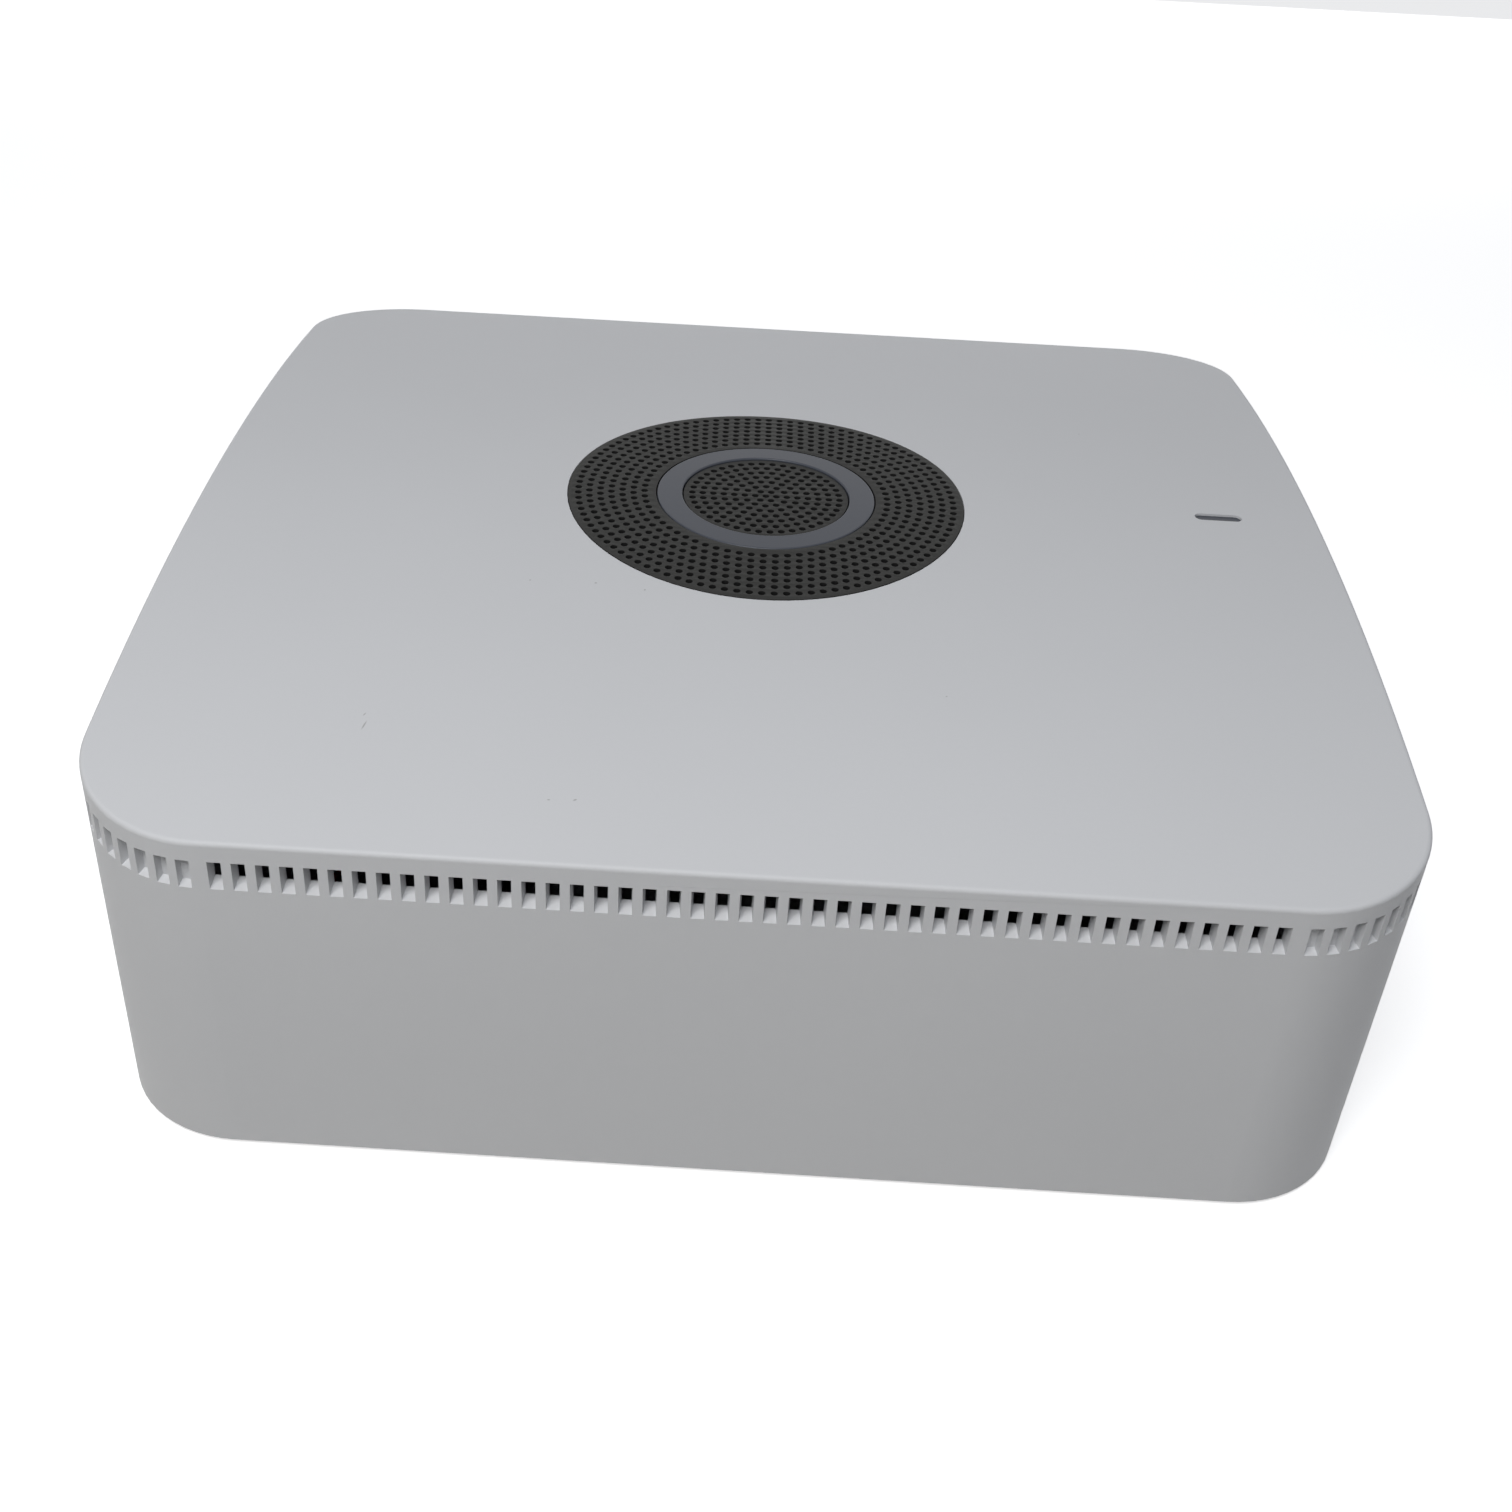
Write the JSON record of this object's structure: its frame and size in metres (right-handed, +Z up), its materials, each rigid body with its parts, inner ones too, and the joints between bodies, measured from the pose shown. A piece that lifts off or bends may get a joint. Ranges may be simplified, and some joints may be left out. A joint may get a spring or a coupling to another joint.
{
  "type": "alarm base station",
  "caption": "Square alarm base station with a crowned vented housing, a round speaker grille with a light ring, rear ports, and its boards, speaker, siren and battery inside.",
  "frame": {"origin": "centre of the footprint on the surface that the feet stand on", "axes": "+Z up, +Y to the back with the ports, +X to the right with the status light"},
  "size_m": [0.21, 0.2098, 0.0733],
  "materials": {
    "housing_white": "fine spark-eroded matt",
    "base_white": "matt moulded",
    "grille_grey": "satin",
    "light_diffuser": "satin translucent",
    "cloth_black": "fine woven mesh",
    "frame_black": "matt moulded",
    "reflector_white": "satin",
    "circuit_board": "solder mask",
    "led": "clear moulded",
    "screw_steel": "zinc plated",
    "shield_tin": "tinned",
    "magnet_steel": "zinc grey",
    "cone_paper": "pulp",
    "rubber_black": "matt",
    "rubber_grey": "matt",
    "foam_black": "open cell foam",
    "battery_wrap": "shrink film",
    "label_film": "satin film",
    "contact_gold": "gold flash",
    "chip_black": "moulded epoxy",
    "pad_grey": "soft silicone",
    "sink_aluminium": "extruded",
    "capacitor_can": "drawn can",
    "card_black": "matt",
    "sim_white": "matt",
    "button_grey": "satin",
    "wire_red_black": "pvc",
    "coax_grey": "fep",
    "ribbon_white": "polyester",
    "plug_white": "nylon",
    "antenna_copper": "copper on board"
  },
  "bodies": {
    "housing": {"top_cover": "housing_white", "grille_outer": "grille_grey", "light_ring": "light_diffuser", "grille_centre": "grille_grey", "grille_cloth": "cloth_black", "status_light_pipe": "light_diffuser", "status_led_board": "circuit_board", "status_leds": "led", "ring_reflector": "reflector_white", "led_ring_board": "circuit_board", "ring_leds": "led", "ring_carrier": "frame_black", "carrier_screws": "screw_steel", "speaker_gasket": "foam_black", "speaker_basket": "frame_black", "speaker_magnet": "magnet_steel", "speaker_spider": "cone_paper", "speaker_surround": "rubber_black", "speaker_screws": "screw_steel", "base_plate": "base_white", "rubber_feet": "rubber_grey", "base_screws": "screw_steel", "backup_battery": "battery_wrap", "rating_plate": "label_film", "port_panel": "frame_black", "main_board": "circuit_board", "board_screws": "screw_steel", "network_jack_left": "shield_tin", "network_jack_right": "shield_tin", "jack_contacts": "contact_gold", "power_inlet": "frame_black", "power_pin": "contact_gold", "card_slot": "shield_tin", "setup_switch": "frame_black", "reset_switch": "frame_black", "processor": "chip_black", "thermal_pad": "pad_grey", "heat_sink": "sink_aluminium", "radio_shields": "shield_tin", "cellular_module": "shield_tin", "memory_chips": "chip_black", "capacitors": "capacitor_can", "sim_holder": "frame_black", "sim_card": "sim_white", "siren_housing": "frame_black", "siren_disc": "contact_gold", "antennas": "antenna_copper", "antenna_leads": "coax_grey", "battery_lead": "wire_red_black", "speaker_lead": "wire_red_black", "siren_lead": "wire_red_black", "ribbon_cable": "ribbon_white", "lead_plugs": "plug_white"},
    "battery_door": {"battery_door": "base_white"},
    "memory_card": {"memory_card": "card_black"},
    "setup_button": {"setup_button": "button_grey", "setup_plunger": "button_grey"},
    "reset_button": {"reset_button": "button_grey"},
    "speaker_cone": {"speaker_cone": "cone_paper", "voice_coil": "contact_gold"}
  },
  "joints": [
    {"name": "battery_door_lift", "type": "slide", "parent": "housing", "child": "battery_door", "axis": [0, 0, -1], "range_m": [0, 0.02]},
    {"name": "memory_card_slide", "type": "slide", "parent": "housing", "child": "memory_card", "axis": [0, 1, 0], "range_m": [0, 0.012]},
    {"name": "setup_button_press", "type": "slide", "parent": "housing", "child": "setup_button", "axis": [0, -1, 0], "range_m": [0, 0.0005], "stiffness_N_per_m": 2500},
    {"name": "reset_button_press", "type": "slide", "parent": "housing", "child": "reset_button", "axis": [0, -1, 0], "range_m": [0, 0.0003], "stiffness_N_per_m": 4000},
    {"name": "speaker_cone_stroke", "type": "slide", "parent": "housing", "child": "speaker_cone", "axis": [0, 0, 1], "range_m": [-0.001, 0.001], "stiffness_N_per_m": 1500, "deforming": ["speaker_surround", "speaker_spider"]}
  ]
}
